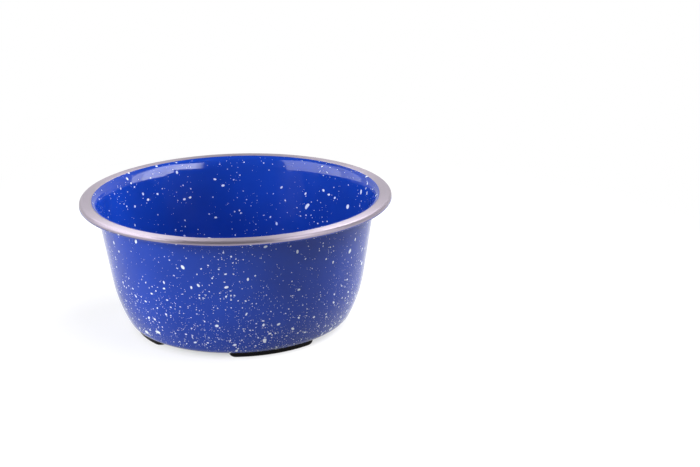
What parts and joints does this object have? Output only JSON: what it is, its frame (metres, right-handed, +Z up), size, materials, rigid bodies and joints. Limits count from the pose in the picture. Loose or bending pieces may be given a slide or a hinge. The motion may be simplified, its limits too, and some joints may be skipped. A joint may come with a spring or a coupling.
{
  "type": "pet bowl",
  "caption": "Round pet bowl of drawn steel, enamelled inside and out, with a flat bare rim rolled at its edge and arc-shaped rubber feet under the edge of its base.",
  "frame": {"origin": "on the bowl's axis, on the plane that the feet stand on", "axes": "+Z up along the bowl's axis, +X to the right and +Y away in the picture's view"},
  "size_m": [0.165, 0.165, 0.0708],
  "materials": {
    "bare_steel": "satin, bare on the rim only",
    "blue_enamel": "glossy blue glaze with white specks of many sizes",
    "foot_rubber": "satin moulded black rubber",
    "adhesive": "thin bonding film, hidden"
  },
  "bodies": {
    "root": {"steel_bowl": "bare_steel", "outer_enamel": "blue_enamel", "inner_enamel": "blue_enamel", "foot_1": "foot_rubber", "foot_2": "foot_rubber", "foot_3": "foot_rubber", "foot_4": "foot_rubber", "foot_1_adhesive": "adhesive", "foot_2_adhesive": "adhesive", "foot_3_adhesive": "adhesive", "foot_4_adhesive": "adhesive"}
  },
  "joints": []
}
